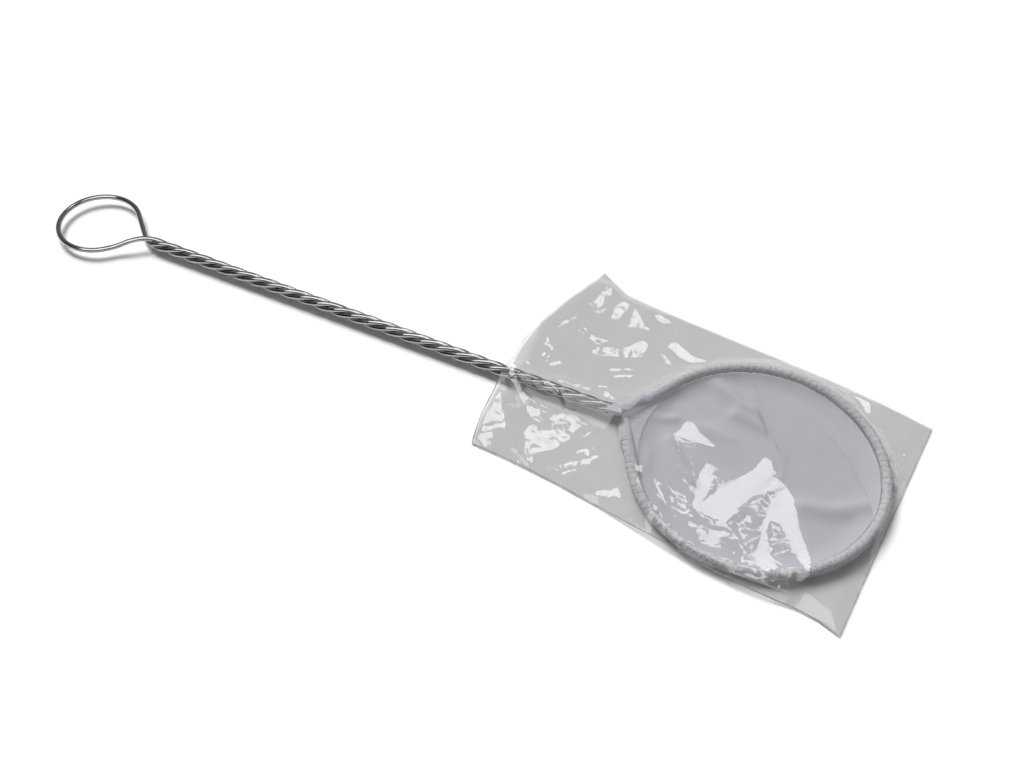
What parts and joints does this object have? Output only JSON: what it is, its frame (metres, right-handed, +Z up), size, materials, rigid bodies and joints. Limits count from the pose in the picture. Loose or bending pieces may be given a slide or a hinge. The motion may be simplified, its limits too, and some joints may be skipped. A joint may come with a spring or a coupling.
{
  "type": "aquarium fish net",
  "caption": "Long-handled aquarium fish net of twisted bright wire with a round hemmed mesh pouch, its head in a clear slide-off film sleeve.",
  "frame": {"origin": "on the table under the middle of the hoop, on the underside of the sleeve's lower film", "axes": "+X along the handle from the hanging loop to the hoop, +Y to the far side, +Z up out of the table"},
  "size_m": [0.377, 0.1285, 0.0085],
  "materials": {
    "wire": "bright drawn steel wire",
    "hem_cloth": "close-stitched white cloth over wire",
    "thread": "matt sewing thread",
    "pouch_mesh": "very fine soft mesh",
    "film": "clear glossy film"
  },
  "bodies": {
    "net": {"hanging_loop": "wire", "shaft_strand_near": "wire", "shaft_strand_far": "wire", "shaft_strand_upper": "wire", "shaft_strand_lower": "wire", "hoop_arm_near": "wire", "hoop_arm_far": "wire", "hem": "hem_cloth", "hem_stitches": "thread", "pouch": "pouch_mesh", "pouch_seam": "thread", "neck_gusset": "pouch_mesh"},
    "sleeve": {"sleeve_upper_film": "film", "sleeve_lower_film": "film", "sleeve_end_panel": "film"}
  },
  "joints": [
    {"name": "sleeve_slide", "type": "slide", "parent": "net", "child": "sleeve", "axis": [0.989, -0.1478, 0], "range_m": [0, 0.16]}
  ]
}
